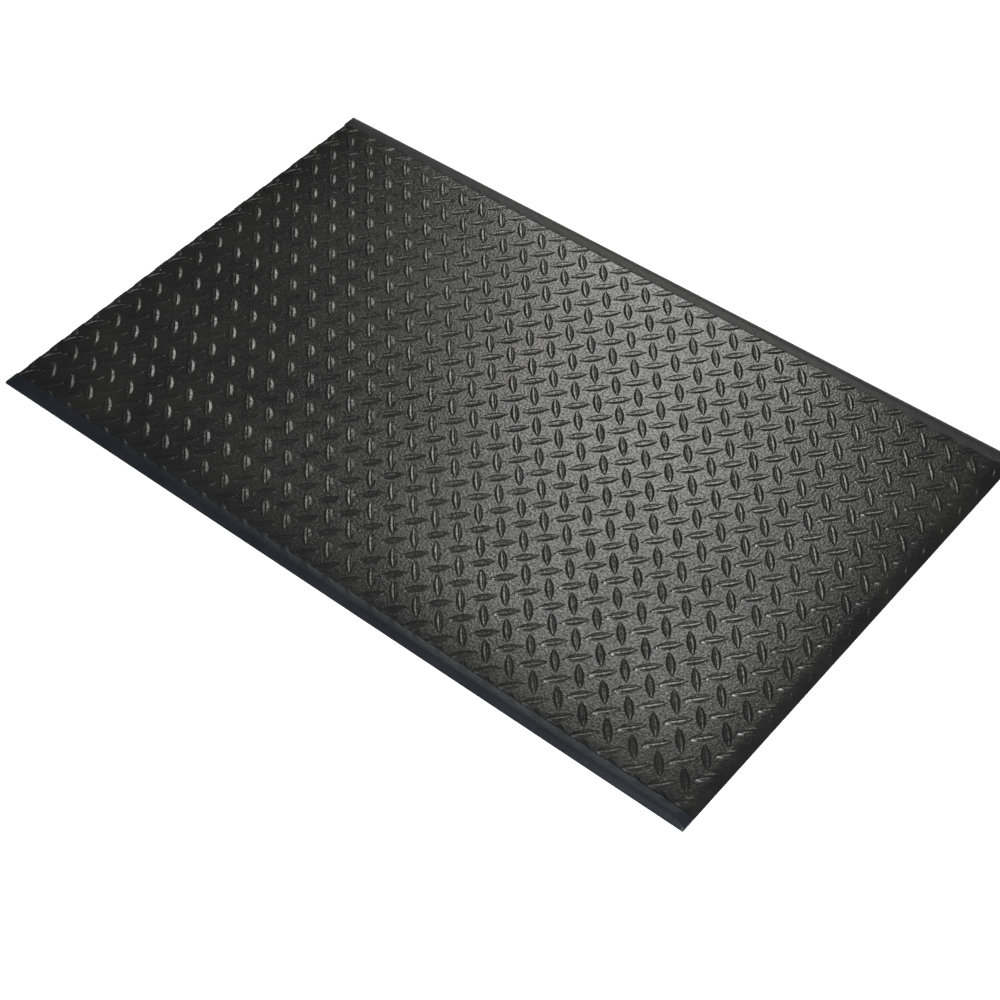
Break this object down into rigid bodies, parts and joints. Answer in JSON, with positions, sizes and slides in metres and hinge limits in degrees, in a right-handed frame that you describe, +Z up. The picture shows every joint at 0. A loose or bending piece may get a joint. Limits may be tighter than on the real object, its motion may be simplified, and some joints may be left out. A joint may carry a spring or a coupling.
{
  "type": "anti fatigue mat",
  "caption": "Rectangular cushioned standing mat of laminated vinyl foam, with a diamond-plate embossed top and smooth bevelled long edges.",
  "frame": {"origin": "on the floor, under the middle of the mat", "axes": "+X along the length, +Y across the width from the front edge to the back edge, +Z up, out of the embossed face"},
  "size_m": [1.5, 0.91, 0.0095],
  "materials": {
    "wear_skin": "black vinyl with a fine pebbled grain, matt with a soft sheen",
    "bevel": "smooth black vinyl with a faint blue cast, satin",
    "foam": "closed-cell vinyl foam, matt, with fine pores on the cut ends",
    "backing": "thin ribbed vinyl film, matt"
  },
  "bodies": {
    "root": {"grip_backing": "backing", "foam_core": "foam", "wear_sheet": "wear_skin", "front_bevel_strip": "bevel", "back_bevel_strip": "bevel"}
  },
  "joints": []
}
